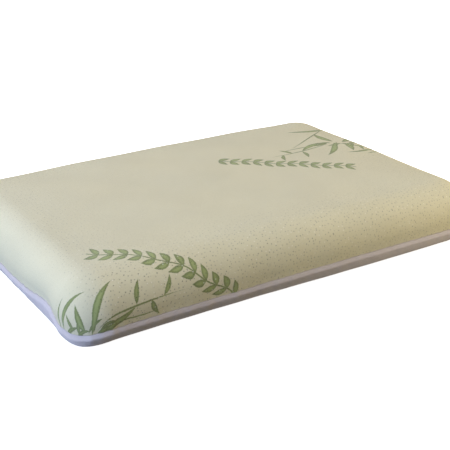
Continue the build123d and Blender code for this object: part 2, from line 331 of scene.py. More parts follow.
def leaf(paint, spot, base_x, base_y, tip_x, tip_y, half, bend):
    """How deep a spot is inside a leaf, in mm:
    half * ((1 - u^2) (1 - 0.3 u) - |v - (1 - u^2) bend / half|),
    where u runs from -1 at the base to 1 at the tip, and v is the sideways distance over half.
    Past the tip, 1 - 0.3 u stays at 0.2 at least, so that the depth stays below 0."""
    reach_x, reach_y = tip_x - base_x, tip_y - base_y
    reach = math.hypot(reach_x, reach_y)
    along = (2 * reach_x / reach**2, 2 * reach_y / reach**2, 0)
    aside = (-reach_y / reach / half, reach_x / reach / half, 0)
    mid_x, mid_y = (base_x + tip_x) / 2, (base_y + tip_y) / 2
    u = paint.dot(spot, along) - (mid_x * along[0] + mid_y * along[1])
    v = paint.dot(spot, aside) - (mid_x * aside[0] + mid_y * aside[1])
    swell = 1 - u * u
    width = swell * (1 - u * 0.3).math("MAXIMUM", 0.2)
    return (width - abs(v - swell * (bend / half))) * half


def leaf_pattern(paint, cloth):
    """How deep a spot on the fabric is inside the pattern, in mm. Two sprigs, each with its
    garland, lie half a turn apart, so the fabric is folded about the point between them: one sprig
    serves for both."""
    from_middle = paint.node(
        "ShaderNodeVectorMath", {"operation": "SUBTRACT"}, {0: cloth, 1: (*SPRIG_MIDDLE, 0.0)}
    )
    flat = paint.scaled(from_middle, (MM_PER_M, MM_PER_M, 0))
    side = paint.dot(flat, (*SPRIG_OFFSET, 0.0)).math("SIGN")
    folded = paint.join(
        paint.part(flat, "X") * side - SPRIG_OFFSET[0],
        paint.part(flat, "Y") * side - SPRIG_OFFSET[1],
    )
    turn = (math.cos(SPRIG_TURN), math.sin(SPRIG_TURN))
    along = paint.dot(folded, (turn[0], turn[1], 0))
    above = paint.dot(folded, (-turn[1], turn[0], 0))
    spot = paint.join(along, above)
    depth = None
    for one in SPRIG:
        inside = leaf(paint, spot, *one)
        depth = inside if depth is None else depth.math("MAXIMUM", inside)
    # the garland: a stem that waves once in four steps, with a pair of leaves at each step, cut off
    # at its two ends
    wave = (along * (2 * math.pi / (4 * GARLAND_PITCH))).math("SINE") * GARLAND_WAVE
    off_stem = abs(above - wave)
    inside_step = ((along / GARLAND_PITCH).math("FRACT") - 0.5) * GARLAND_PITCH
    pair = leaf(paint, paint.join(inside_step, off_stem), *GARLAND_LEAF)
    stem = STEM_HALF - off_stem
    ends = GARLAND_HALF - abs(along)
    garland = pair.math("MAXIMUM", stem).math("MINIMUM", ends)
    return depth.math("MAXIMUM", garland)


# ---------------------------------------------------------------- finishes
def cream_knit(colours):
    """Cream jacquard knit: fine V-shaped loops, small pinholes 5 mm apart, and green leaves knitted
    in. The cloth's Z is the distance from the seam."""
    paint = Paint(
        "cream_jacquard_knit", Sheen_Weight=0.30, Sheen_Roughness=0.55, Specular_IOR_Level=0.18
    )
    cloth = paint.cloth()
    loops = knit_height(paint, cloth, 0.00105, 0.00085)
    jitter = paint.noise(cloth, 620.0, 1.0)
    blotch = paint.noise(cloth, 14.0, 3.0)
    warped = paint.node(
        "ShaderNodeVectorMath",
        {"operation": "MULTIPLY_ADD"},
        {0: paint.noise(cloth, 60.0, 1.0), 1: (0.0012, 0.0012, 0), 2: cloth},
    )
    per_metre, uneven = 190.0, 0.85
    distance = paint.cells(warped, per_metre, uneven)
    kind = paint.part(paint.cells(warped, per_metre, uneven, "Color"), "X")
    # the pinholes are full on the long sides' shoulders and faint on the crown and ends, as the
    # light grazes the sides and washes out the crown and ends, so their painted shade follows the
    # light
    hole_fade_by_light = 1 - paint.part(cloth, "Z").step(0.055, 0.13) * 0.80
    hole_fade_by_light = hole_fade_by_light * (1 - abs(paint.part(cloth, "X")).step(0.245, 0.295) * 0.82)
    hole = distance.step(0.19, 0.08) * (kind * 0.8 + 0.2) * hole_fade_by_light
    # one hole in six shows the pale foam instead of a painted shadow
    bright = kind.step(0.84, 0.86)
    hole_painted_shade = hole * (1 - bright)
    depth = leaf_pattern(paint, cloth) + (jitter - 0.5) * 1.5
    print_mask = depth.step(-0.45, 0.45)
    shade = depth.step(0.2, 4.5) * 0.55 + paint.noise(cloth, 45.0, 2.0) * 0.75 - 0.15
    green = paint.mix(shade.step(0.05, 0.85), colours.leaf_deep, colours.leaf)
    ground = paint.tone(colours.cream, 0.91 + blotch * 0.12 + jitter * 0.05)
    body = paint.mix(print_mask * 0.92, ground, green)
    # painted shade: the other pinholes are darkened in the colour
    body = paint.tone(body, (1.0 - hole_painted_shade * 0.62) * (0.93 + loops * 0.08))
    body = paint.mix(hole * bright * 0.5, body, (0.92, 0.89, 0.78))
    height = loops * 0.25 + jitter * 0.15 - hole * 1.2 + print_mask * 0.10
    slow = paint.noise(cloth, 38.0, 2.0)
    cushion = paint.noise(cloth, 230.0, 1.0)
    soft = paint.bump(slow + cushion * 0.35, 0.0011, 0.5)
    normal = paint.bump(height, 0.0008, 0.85, soft)
    rough = 0.84 + loops * 0.08
    return paint.feed(Base_Color=body, Roughness=rough, Normal=normal)


def white_knit(colours):
    """Plain interlock knit of the lower panel, finer than the upper one, with faint streaks along
    the yarn, and a painted shadow in the seam."""
    paint = Paint(
        "plain_white_knit", Sheen_Weight=0.22, Sheen_Roughness=0.5, Specular_IOR_Level=0.2
    )
    cloth = paint.cloth()
    loops = knit_height(paint, cloth, 0.0008, 0.0007)
    streak = paint.noise(paint.scaled(cloth, (18, 420, 420)), 1.0, 2.0)
    blotch = paint.noise(cloth, 20.0, 2.0)
    # painted shade: the knit is up to 8% darker within 3.5 mm of the seam
    seam_painted_shade = paint.part(cloth, "Z").step(0.0035, 0.0005)
    body = paint.tone(colours.white, 0.90 + streak * 0.07 + blotch * 0.06 - seam_painted_shade * 0.08)
    soft = paint.bump(paint.noise(cloth, 50.0, 2.0), 0.0008, 0.35)
    normal = paint.bump(loops * 0.5 + streak * 0.4, 0.0003, 0.7, soft)
    return paint.feed(Base_Color=body, Roughness=0.78 + loops * 0.1, Normal=normal)


def foam_finish(colours):
    """Open-cell foam: many small pores with a few larger ones, yellower in patches."""
    paint = Paint("memory_foam", Roughness=0.95, Specular_IOR_Level=0.1)
    place = paint.place()
    fine = paint.node("ShaderNodeTexVoronoi", None, {"Vector": place, "Scale": 900.0})
    large = paint.node("ShaderNodeTexVoronoi", None, {"Vector": place, "Scale": 210.0})
    pore = large.step(0.22, 0.10)
    age = paint.noise(place, 9.0, 3.0)
    # painted shade: the larger pores are darkened by up to 30% in the colour
    body = paint.tone(colours.foam, 0.86 + fine * 0.12 - pore * 0.30 + age * 0.06)
    normal = paint.bump(fine * 0.5 - pore, 0.0006, 0.8)
    return paint.feed(Base_Color=body, Normal=normal)


def jersey_finish(colours):
    """Thin single jersey, its wales about a millimetre apart."""
    paint = Paint("white_jersey", Roughness=0.9, Sheen_Weight=0.2, Sheen_Roughness=0.5)
    place = paint.place()
    loops = knit_height(paint, place, 0.0011, 0.0009)
    slow = paint.noise(place, 25.0, 2.0)
    body = paint.tone(colours.jersey, 0.88 + loops * 0.10 + slow * 0.05)
    return paint.feed(Base_Color=body, Normal=paint.bump(loops, 0.0003, 0.6))


def thread_finish(name, tint):
    """Spun thread: fine slanting plies and a slight fuzz."""
    paint = Paint(name, Roughness=0.7, Sheen_Weight=0.25, Sheen_Roughness=0.4)
    place = paint.place()
    ply = paint.dot(place, (5200.0, 3600.0, 4200.0)).math("SINE") * 0.5 + 0.5
    fuzz = paint.noise(place, 1500.0, 2.0)
    body = paint.tone(tint, 0.80 + ply * 0.14 + fuzz * 0.10)
    return paint.feed(Base_Color=body, Normal=paint.bump(ply + fuzz * 0.4, 0.00012, 0.7))


def tape_finish(colours):
    """Woven zip tape: a twill of 0.9 mm that turns every 2 mm, on yarns 0.5 mm apart."""
    paint = Paint("woven_zip_tape", Roughness=0.75, Sheen_Weight=0.15, Sheen_Roughness=0.4)
    place = paint.place()
    across, along = paint.part(place, "Z"), paint.part(place, "X")
    zigzag = abs((across / 0.004).math("FRACT") - 0.5) * 2.0
    twill = wavy(along / 0.0009 + zigzag * 2.2)
    yarn = wavy(across / 0.0005)
    body = paint.tone(colours.tape, 0.84 + twill * 0.10 + yarn * 0.06)
    return paint.feed(Base_Color=body, Normal=paint.bump(twill + yarn * 0.5, 0.00018, 0.8))


def nylon_finish(colours):
    """Glossy drawn nylon, a little cloudy along its length."""
    paint = Paint("nylon_coil", Subsurface_Weight=0.15, Subsurface_Scale=0.0006)
    place = paint.place()
    cloud = paint.noise(place, 260.0, 3.0)
    scuff = paint.noise(paint.scaled(place, (60, 900, 900)), 1.0, 2.0)
    body = paint.tone(colours.nylon, 0.88 + cloud * 0.12)
    return paint.feed(
        Base_Color=body,
        Roughness=0.26 + scuff * 0.2,
        Normal=paint.bump(scuff, 0.00005, 0.3),
    )


def enamel_finish(colours):
    """White enamel on zinc: an orange-peel surface, with the metal showing in rubbed spots."""
    paint = Paint("white_enamelled_zinc", Coat_Weight=0.25, Coat_Roughness=0.15)
    place = paint.place()
    peel = paint.noise(place, 1400.0, 2.0)
    spots = paint.noise(place, 420.0, 4.0, 0.65)
    worn = spots.step(0.62, 0.70)
    body = paint.mix(worn, paint.tone(colours.enamel, 0.92 + peel * 0.1), colours.zinc)
    return paint.feed(
        Base_Color=body,
        Metallic=worn * 0.9,
        Roughness=0.30 + worn * 0.16 + peel * 0.06,
        Normal=paint.bump(peel * 0.4 - worn, 0.00004, 0.4),
    )


def satin_finish(colours):
    """Blank woven satin: long floats across the ribbon, and a corded edge 14 mm from its middle."""
    paint = Paint("blank_satin_ribbon", Sheen_Weight=0.2, Sheen_Roughness=0.3)
    cloth = paint.cloth()
    floats = wavy(paint.part(cloth, "Y") / 0.00045)
    ends = paint.noise(paint.scaled(cloth, (500, 2600, 1)), 1.0, 2.0)
    edge = abs(paint.part(cloth, "X")).step(0.0132, 0.0140)
    body = paint.tone(colours.satin, 0.88 + floats * 0.06 + ends * 0.10 - edge * 0.06)
    return paint.feed(
        Base_Color=body,
        Roughness=0.36 + ends * 0.16,
        Normal=paint.bump(floats * 0.4 + ends * 0.3 + edge, 0.00015, 0.7),
    )


# ---------------------------------------------------------------- meshes from grids
def smooth(x):
    """0 below 0, 1 above 1, and 3x^2 - 2x^3 between."""
    x = np.clip(x, 0, 1)
    return x * x * (3 - 2 * x)


def bell(x, middle, reach):
    """exp(-((x - middle) / reach)^2)."""
    return np.exp(-(((x - middle) / reach) ** 2))


def quads(rows, columns, close_columns=True):
    """Corner numbers of a grid's four-sided faces. Points are numbered row by row."""
    r = np.arange(rows - 1)
    c = np.arange(columns if close_columns else columns - 1)
    r, c = (x.ravel() for x in np.meshgrid(r, c, indexing="ij"))
    r2, c2 = r + 1, (c + 1) % columns
    return np.stack([r * columns + c, r * columns + c2, r2 * columns + c2, r2 * columns + c], 1)


def fill_mesh(name, points, four, three=None, cloth=None):
    """Makes a mesh object from points and faces, turned so that a closed shape faces outwards."""
    faces = [four] if three is None else [four, three]
    total = 0.0
    for block in faces:
        a, b, c = (points[block[:, i]] for i in range(3))
        total += (np.cross(b, c) * a).sum()
        if block.shape[1] == 4:
            total += (np.cross(c, points[block[:, 3]]) * a).sum()
    if total < 0:
        faces = [block[:, ::-1] for block in faces]
    counts = np.concatenate([np.full(len(block), block.shape[1]) for block in faces])
    corners = np.concatenate([block.ravel() for block in faces]).astype(np.int32)
    starts = np.concatenate([[0], np.cumsum(counts)[:-1]]).astype(np.int32)
    mesh = bpy.data.meshes.new(name)
    mesh.vertices.add(len(points))
    mesh.vertices.foreach_set("co", np.ascontiguousarray(points, np.float32).ravel())
    mesh.loops.add(len(corners))
    mesh.loops.foreach_set("vertex_index", corners)
    mesh.polygons.add(len(counts))
    mesh.polygons.foreach_set("loop_start", starts)
    mesh.update(calc_edges=True)
    mesh.validate()
    mesh.shade_smooth()
    if cloth is not None:
        spots = mesh.attributes.new("cloth", "FLOAT_VECTOR", "POINT")
        spots.data.foreach_set("vector", np.ascontiguousarray(cloth, np.float32).ravel())
    made = bpy.data.objects.new(name, mesh)
    bpy.context.scene.collection.objects.link(made)
    return made


def ringed(name, rings, first, last, cloth=None):
    """A closed shape from a stack of rings (rows, columns, 3), with a pole at each end. On cloth, a
    pole is as far from the seam as it gets."""
    rows, columns = rings.shape[:2]
    points = np.concatenate([rings.reshape(-1, 3), [first, last]])
    this, following = np.arange(columns), (np.arange(columns) + 1) % columns
    base = (rows - 1) * columns
    low = np.stack([np.full(columns, rows * columns), following, this], 1)
    high = np.stack([np.full(columns, rows * columns + 1), base + this, base + following], 1)
    if cloth is not None:
        far = 1.0
        ends = [[first[0], first[1], far], [last[0], last[1], far]]
        cloth = np.concatenate([cloth.reshape(-1, 3), ends])
    return fill_mesh(name, points, quads(rows, columns), np.concatenate([low, high]), cloth)


def tube(path, across, radius, sides):
    """Rings of a round tube. path is (n, 3), and across is (n, 3) and not along the path. The
    binormal is at right angles to both, and each ring is path + radius * (cos * normal + sin *
    binormal)."""
    tangent = np.gradient(path, axis=0)
    tangent /= np.linalg.norm(tangent, axis=1, keepdims=True)
    binormal = np.cross(tangent, across)
    binormal /= np.linalg.norm(binormal, axis=1, keepdims=True)
    normal = np.cross(binormal, tangent)
    turn = 2 * np.pi * np.arange(sides) / sides
    return (
        path[:, None]
        + radius * np.cos(turn)[None, :, None] * normal[:, None]
        + radius * np.sin(turn)[None, :, None] * binormal[:, None]
    )


def capped(name, rings):
    """A closed tube from its rings, with a pole at the middle of each end ring."""
    return ringed(name, rings, rings[0].mean(0), rings[-1].mean(0))


# ---------------------------------------------------------------- the pillow's outline
LONG_STEPS, SHORT_STEPS, CORNER_STEPS = 240, 144, 40
ZIP_SIDE = 0.999  # a direction outwards with more than this in Y is on the zip's side


def stations(sizes):
    """Stations round the plan: for each a core point, a unit direction outwards, and its share of
    the way round. The outline at a distance d inside the edge is core + out * (corner - d). Along a
    side the core point moves and the direction stays; round a corner the direction turns."""
    half = np.array([sizes.long_side / 2 - sizes.corner, sizes.short_side / 2 - sizes.corner])
    marks = np.array([[1, -1], [1, 1], [-1, 1], [-1, -1]]) * half
    core, out = [], []
    for side in range(4):
        steps = SHORT_STEPS if side % 2 == 0 else LONG_STEPS
        share = np.arange(steps)[:, None] / steps
        turn = side * np.pi / 2
        core.append(marks[side] + (marks[(side + 1) % 4] - marks[side]) * share)
        out.append(np.tile([np.cos(turn), np.sin(turn)], (steps, 1)))
        turns = turn + np.pi / 2 * np.arange(CORNER_STEPS) / CORNER_STEPS
        core.append(np.tile(marks[(side + 1) % 4], (CORNER_STEPS, 1)))
        out.append(np.stack([np.cos(turns), np.sin(turns)], 1))
    core, out = np.concatenate(core), np.concatenate(out)
    edge = core + out * sizes.corner
    hop = np.linalg.norm(np.roll(edge, -1, axis=0) - edge, axis=1)
    share = np.concatenate([[0], np.cumsum(hop)[:-1]]) / hop.sum()
    return core, out, share


def in_slot(sizes, core, out):
    """1 at the zip's slot, 0 elsewhere, with a short rise at each end."""
    rise = 0.004
    return smooth((sizes.slot_half + rise - np.abs(core[:, 0])) / rise) * (out[:, 1] > ZIP_SIDE)


def crown_drop(sizes, x, y):
    """How far the upper face is below its middle: crown * (x^2 + y^2), over that at the corner."""
    return sizes.crown * (x**2 + y**2) / ((sizes.long_side / 2) ** 2 + (sizes.short_side / 2) ** 2)


def eased(away):
    """How far the surface sinks where the crown meets the shoulder, which softens the change of
    curve: a bell over the distance from that line."""
    depth, reach = 0.0010, 0.020
    return depth * bell(away, 0, reach)


class Face:
    """One half of the cover's outside, above the seam (up = 1) or below it (up = -1). Going away
    from the seam, it is a plain wall, then a quarter round, then the nearly flat face. Distances u
    are along the surface."""

    def __init__(self, sizes, up):
        self.sizes, self.up = sizes, up
        self.core, self.out, self.share = stations(sizes)
        self.edge = self.core + self.out * sizes.corner
        self.slot = in_slot(sizes, self.core, self.out)
        self.round = sizes.shoulder if up > 0 else sizes.foot
        self.rim = self.core + self.out * (sizes.corner - self.round)
        if up > 0:
            drop = crown_drop(sizes, *self.edge.T)
            self.wall = sizes.height - drop - sizes.shoulder - sizes.seam
        else:
            self.wall = np.full(len(self.edge), sizes.seam - sizes.foot)
        self.end = self.wall + self.round * np.pi / 2

    def at(self, u):
        """Points, normals and directions away from the seam, at distances u (rows, columns)."""
        sizes = self.sizes
        turn = np.clip((u - self.wall) / self.round, 0, np.pi / 2)
        inset = self.round * (1 - np.cos(turn))
        ease = eased(self.end - u) if self.up > 0 else 0
        plan = self.core + self.out * (sizes.corner - inset - ease * np.cos(turn))[..., None]
        z = sizes.seam + self.up * (np.minimum(u, self.wall) + self.round * np.sin(turn))
        z = z - ease * np.sin(turn)
        if self.up > 0:
            z = z + crown_drop(sizes, *self.edge.T) - crown_drop(sizes, plan[..., 0], plan[..., 1])
        cos, sin = np.cos(turn)[..., None], np.sin(turn)[..., None]
        points = np.concatenate([plan, z[..., None]], -1)
        normal = np.concatenate([cos * self.out, self.up * sin], -1)
        away = np.concatenate([-sin * self.out, self.up * cos], -1)
        return points, normal, away

    def flat(self, shares):
        """Rings of the nearly flat face: the outline at the round's end, drawn in to each share."""
        sizes = self.sizes
        plan = shares[:, None, None] * self.rim
        if self.up > 0:
            inward = (1 - shares[:, None]) * (self.rim * self.out).sum(1)
            z = sizes.height - crown_drop(sizes, plan[..., 0], plan[..., 1]) - eased(inward)
        else:
            z = np.zeros(plan.shape[:2])
        return np.concatenate([plan, z[..., None]], -1)

    def spread(self, u):
        """Where a point at distance u lay on the flat fabric."""
        return self.rim + self.out * (self.end - u)[..., None]


def waves(share, fewest, most, seed):
    """Uneven waves round the outline, about 1 high: a sum of seven sines, each with a whole number
    of waves from fewest to most, and a size and a phase drawn at random."""
    source = np.random.default_rng(seed)
    counts = source.integers(fewest, most, 7)[:, None]
    phases = source.uniform(0, 2 * np.pi, 7)[:, None]
    sizes = source.uniform(0.5, 1.0, 7)[:, None]
    return (sizes * np.sin(2 * np.pi * counts * share + phases)).sum(0) / 2.2


# where the seam near the front left corner is hitched up, and the corner beside it
HITCH_Y, TO_CORNER, FROM_CORNER = -0.115, 0.026, 0.047
KNOB_X, KNOB_Y, KNOB_REACH = -0.288, -0.182, 0.026
# the stretch of the front whose foot stands out too
SLUMP_X, SLUMP_REACH, SLUMP_SHARE = 0.06, 0.15, 0.42
# distances from the seam over which the moves fade
WIDE, NEAR, NEAR_BELOW = 0.075, 0.032, 0.013


def settle(points, u, face, drape):
    """Moves the cover's points from the plain form to how the knit sits, by a shift outwards and a
    lift. Each is a sum of terms: a size, times where on the outline it acts, times a bell over the
    distance u from the seam. The sides bow in between the corners and draw in at the seam, with
    small gathers. Near the front left corner the seam is hitched up and in, and the corner beside
    it stands out and hangs."""
    out, below = face.out, face.up < 0
    edge_x, edge_y = face.edge.T
    along_x, along_y = (face.core / np.abs(face.core).max(axis=0)).T
    front, left = np.clip(-out[:, 1], 0, 1), np.clip(-out[:, 0], 0, 1)
    ends = np.abs(out[:, 0])
    zip_side = smooth(out[:, 1] * 2 - 0.6)
    sewn = 1 - face.slot
    wide, near = bell(u, 0, WIDE), bell(u, 0, NEAR)

    hitch = left * bell(edge_y, HITCH_Y, np.where(edge_y > HITCH_Y, FROM_CORNER, TO_CORNER))
    knob = bell(edge_x, KNOB_X, KNOB_REACH) * bell(edge_y, KNOB_Y, KNOB_REACH)
    bow = front * (1 - along_x**2) + ends * 0.8 * (1 - along_y**2)
    ear = 2 * np.abs(out[:, 0] * out[:, 1])
    shift = wide * (drape.ear * ear - drape.bow * bow)
    shift = shift + near * drape.hitch_out * knob
    shift = shift - (bell(u, 0, NEAR_BELOW) if below else near) * drape.hitch_in * hitch
    reach, more = (0.0045, 1.3 + 0.6 * knob) if below else (0.016, 1)
    shift = shift - drape.tuck * more * sewn * (1 - zip_side * 0.5) * smooth(1 - u / reach)
    if below:
        belly = drape.belly * sewn * (1 - 2.6 * knob)
        shift = shift + belly * bell(u, 0.0035, 0.0025)
        # the front turns under, most of all at its left
        turned = smooth((u - 0.003) / 0.014) * bell(np.clip(u, 0.018, None), 0.018, 0.03)
        hang = 1.25 - 1.15 * smooth((edge_x + 0.06) / 0.28)
        shift = shift - drape.under * (0.1 + 0.9 * front * hang) * (1 - zip_side) * turned
        slump = knob + SLUMP_SHARE * front * bell(edge_x, SLUMP_X, SLUMP_REACH)
        shift = shift + drape.foot_out * slump * bell(u, 0.026, 0.013)
        folds = waves(face.share, 50, 120, seed=23) * bell(u, 0.010, 0.007)
        shift = shift + drape.pucker * 0.8 * sewn * folds
    gathers = waves(face.share, 80, 190, seed=11)
    slack = waves(face.share, 14, 40, seed=5)
    calm = 1 - 0.85 * face.slot
    uneven = gathers * np.exp(-u / 0.007) + slack * np.exp(-u / 0.045)
    shift = shift + drape.pucker * calm * uneven

    lift = near * (drape.hitch * hitch - drape.sag * knob)
    if below:
        lift = lift * smooth(1 - u / face.sizes.foot)
    lift = lift + drape.pucker * 0.6 * calm * np.exp(-u / 0.006) * np.roll(gathers, 3)
    moved = points.copy()
    moved[..., :2] += out * shift[..., None]
    moved[..., 2] += lift
    return moved


def rippled(points, drape):
    """Slow waves over the nearly flat upper face: a product of sines of x and y, and a slanting
    sine. They grow from nothing at 30 mm high to full height at 80 mm."""
    x, y, z = points[..., 0], points[..., 1], points[..., 2]
    wave = np.sin(2 * np.pi * x / 0.23 + 1.0) * np.sin(2 * np.pi * y / 0.19 + 0.4)
    wave = wave + 0.6 * np.sin(2 * np.pi * (x + 0.7 * y) / 0.14 + 2.0)
    moved = points.copy()
    moved[..., 2] += drape.ripple * wave * smooth(z / 0.05 - 0.6)
    return moved


# the edge of a panel behind the seam, and the hem behind the zip
PLY = 0.0012  # a layer of knit that is pressed flat in the seam
TURNED_IN = 0.007  # how wide the turned-in edge is
HEM = 0.008  # how wide the hem is
HEM_GAP = 0.0014  # how much further in the hem lies


def turned_edge(face, back, normal, away):
    """Rings of the turned-in edge, each behind the fold by an inset and above it by a height. The
    lower panel's edge first reaches up inside the upper panel, one ply thick."""
    slot, sewn = face.slot, 1 - face.slot
    inset = face.sizes.fabric + PLY + HEM_GAP * slot
    if face.up > 0:
        corners = [(inset, 0 * slot), (inset, TURNED_IN + (HEM - TURNED_IN) * slot)]
    else:
        reach, thin = TURNED_IN * sewn, PLY * sewn
        corners = [
            (inset, 0 * slot),
            (inset, -reach),
            (inset + thin, -reach),
            (inset + thin, thin),
            (inset, thin + HEM * slot),
        ]
    return np.stack([back - normal * i[:, None] + away * h[:, None] for i, h in corners])


def panel(name, sizes, drape, up):
    """A cover panel: a closed skin as thick as the knit. From the middle of its face it runs
    outwards over the round and down the wall, folds in at the seam or at the zip's slot, and comes
    back inside."""
    face = Face(sizes, up)
    fold = sizes.fold
    start = sizes.slot_rise * face.slot + fold
    flat_steps, round_steps = (16, 25) if up > 0 else (10, 15)
    shares = np.linspace(0, 1, flat_steps + 1)[1:] ** 0.85
    outer_flat = face.flat(shares)
    u = start + (face.end - start) * np.linspace(1, 0, round_steps + 1)[1:, None] ** 1.15
    outer, normal, away = face.at(u)
    anchor, normal, away = outer[-1], normal[-1], away[-1]
    turn = np.linspace(np.pi / 2, 0, 6)[1:, None, None]
    rolled = anchor - fold * normal + fold * (np.sin(turn) * normal - np.cos(turn) * away)
    tucked = turned_edge(face, anchor - fold * away, normal, away)
    u_in = start + (face.end - start) * np.linspace(0.12, 1, 12)[:, None] ** 1.1
    inner, inner_normal, _ = face.at(u_in)
    inner = inner - inner_normal * sizes.fabric
    shares_in = shares[::-2][1:]
    inner_flat = face.flat(shares_in) - [0, 0, up * sizes.fabric]

    # each ring's distance from the seam, which rises faster over the flat face than the real one
    beyond, beyond_in = (
        face.end + (1 - some[:, None]) * 0.12 for some in (shares, shares_in)
    )
    at_seam = np.broadcast_to(start, (len(rolled) + len(tucked), len(start)))
    distance = np.concatenate([beyond, u, at_seam, u_in, beyond_in])
    rings = np.concatenate([outer_flat, outer, rolled, tucked, inner, inner_flat])
    rings = settle(rings, distance, face, drape)
    spread = face.spread(np.minimum(distance, face.end))
    spread[: len(outer_flat)] = outer_flat[..., :2]
    spread[-len(inner_flat) :] = inner_flat[..., :2]
    cloth = np.concatenate([spread, distance[..., None]], -1)
    middle = np.array([0.0, 0.0, sizes.height if up > 0 else 0.0])
    middles = np.stack([middle, middle - [0, 0, up * sizes.fabric]])
    if up > 0:
        rings, middles = rippled(rings, drape), rippled(middles, drape)
    return ringed(name, rings, *middles, cloth)


def block_rings(sizes, side, floor, top, shoulder, foot):
    """Rings of a rounded block inside the cover: underside, foot, wall, shoulder and crown, from
    below to above. side, floor and top are its distances inside the cover, and the rounds are
    quarter circles."""
    core, out, _ = stations(sizes)
    reach = sizes.corner - side
    shares = np.linspace(0, 1, 9)[1:]

    def ring(plan, z):
        return np.concatenate([plan, np.broadcast_to(z, len(plan))[:, None]], 1)

    def crown(plan):
        return sizes.height - top - crown_drop(sizes, *plan.T)

    rim = core + out * (reach - foot)
    rows = [ring(share * rim, floor) for share in shares]
    for turn in np.linspace(0, np.pi / 2, 8)[1:]:
        plan = core + out * (reach - foot * (1 - np.sin(turn)))
        rows.append(ring(plan, floor + foot * (1 - np.cos(turn))))
    for turn in np.linspace(0, np.pi / 2, 14):
        plan = core + out * (reach - shoulder * (1 - np.cos(turn)))
        sunk = eased(shoulder * (np.pi / 2 - turn)) * np.sin(turn)
        rows.append(ring(plan, crown(plan) - shoulder * (1 - np.sin(turn)) - sunk))
    rim = core + out * (reach - shoulder)
    for share in shares[::-1][1:]:
        plan = share * rim
        rows.append(ring(plan, crown(plan) - eased((1 - share) * (rim * out).sum(1))))
    return np.stack(rows)


def settings():
    """The four property groups of the scene."""
    scene = bpy.context.scene
    return tuple(getattr(scene, name) for name in GROUPS)


def dress(piece, material, body, slot, *nodes):
    """Gives a piece its finish, and ties it to its body and CAD nodes. slot is not used."""
    piece.data.materials.clear()
    piece.data.materials.append(material)
    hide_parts(*nodes)
    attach(piece, body)
    return piece


def thicken(piece, thickness, offset=-1.0):
    """A live Solidify modifier."""
    made = piece.modifiers.new("thickness", "SOLIDIFY")
    made.thickness = thickness
    made.offset = offset
    return piece


# ---------------------------------------------------------------- operators
class PILLOW_OT_cover(bpy.types.Operator):
    """Make the two knitted panels of the cover."""

    bl_idname = "pillow.cover"
    bl_label = "Cover Panels"
    bl_options = {"REGISTER", "UNDO"}

    def execute(self, context):
        sizes, drape, colours, _ = settings()
        top = panel("cover_top", sizes, drape, 1)
        dress(top, cream_knit(colours), "pillow", "top_knit", "cover_top_panel")
        bottom = panel("cover_bottom", sizes, drape, -1)
        dress(bottom, white_knit(colours), "pillow", "bottom_knit", "cover_bottom_panel")
        return {"FINISHED"}


DENT = 0.0003  # depth of the foam's slow dents


class PILLOW_OT_core(bpy.types.Operator):
    """Make the foam core and the jersey sock sewn round it."""

    bl_idname = "pillow.core"
    bl_label = "Foam and Sock"
    bl_options = {"REGISTER", "UNDO"}

    def execute(self, context):
        sizes, _, colours, _ = settings()
        side = TOP_HIGH.x - CORE_HIGH.x
        top = sizes.height - CORE_HIGH.z
        floor = CORE_LOW.z
        lining = 0.0008
        shoulder = sizes.shoulder - sizes.fabric
        foot = 0.026
        rings = block_rings(
            sizes, side + lining, floor + lining, top + lining, shoulder - lining, foot - lining
        )
        dents = np.sin(rings[..., 0] * 37.0) * np.sin(rings[..., 1] * 29.0 + 1.0)
        rings[..., 2] += DENT * dents * smooth((rings[..., 2] - 0.06) / 0.01)
        last = [0, 0, sizes.height - top - lining]
        foam = ringed("foam_block", rings, [0, 0, floor + lining], last)
        dress(foam, foam_finish(colours), "pillow", "foam", "foam_core")
        rings = block_rings(sizes, side, floor, top, shoulder, foot)
        sock = ringed("jersey_sock", rings, [0, 0, floor], [0, 0, sizes.height - top])
        thicken(sock, lining * 0.6)
        dress(sock, jersey_finish(colours), "pillow", "liner_jersey", "liner_sock")
        # the sock's seam: thread wound along the end, 88 turns
        low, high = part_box("liner_seam_thread")
        middle = (low + high) / 2
        steps, inset = 1400, 0.001
        run = np.linspace(0, 1, steps)
        turns = 2 * np.pi * run * 88
        path = np.stack(
            [
                middle.x + 0.0005 * np.cos(turns),
                low.y + inset + (high.y - low.y - 2 * inset) * run,
                middle.z + 0.0013 * np.sin(turns),
            ],
            1,
        )
        seam = capped("sock_seam", tube(path, np.tile([0.0, 1.0, 0.0], (steps, 1)), 0.0003, 5))
        finish = thread_finish("sock_thread", colours.jersey)
        dress(seam, finish, "pillow", "liner_thread", "liner_seam_thread")
        return {"FINISHED"}


TAPE_THICK = 0.0005
COIL_THREAD = 0.00029  # radius
COIL_TALL = 0.00140  # a loop's half height; the loops of the two coils reach past each other
COIL_DEEP = 0.00085
COIL_LEAN = 0.00022
SLIDER_LOOPS = 294  # loops in the slider's travel, a whole number so that it fits at both ends


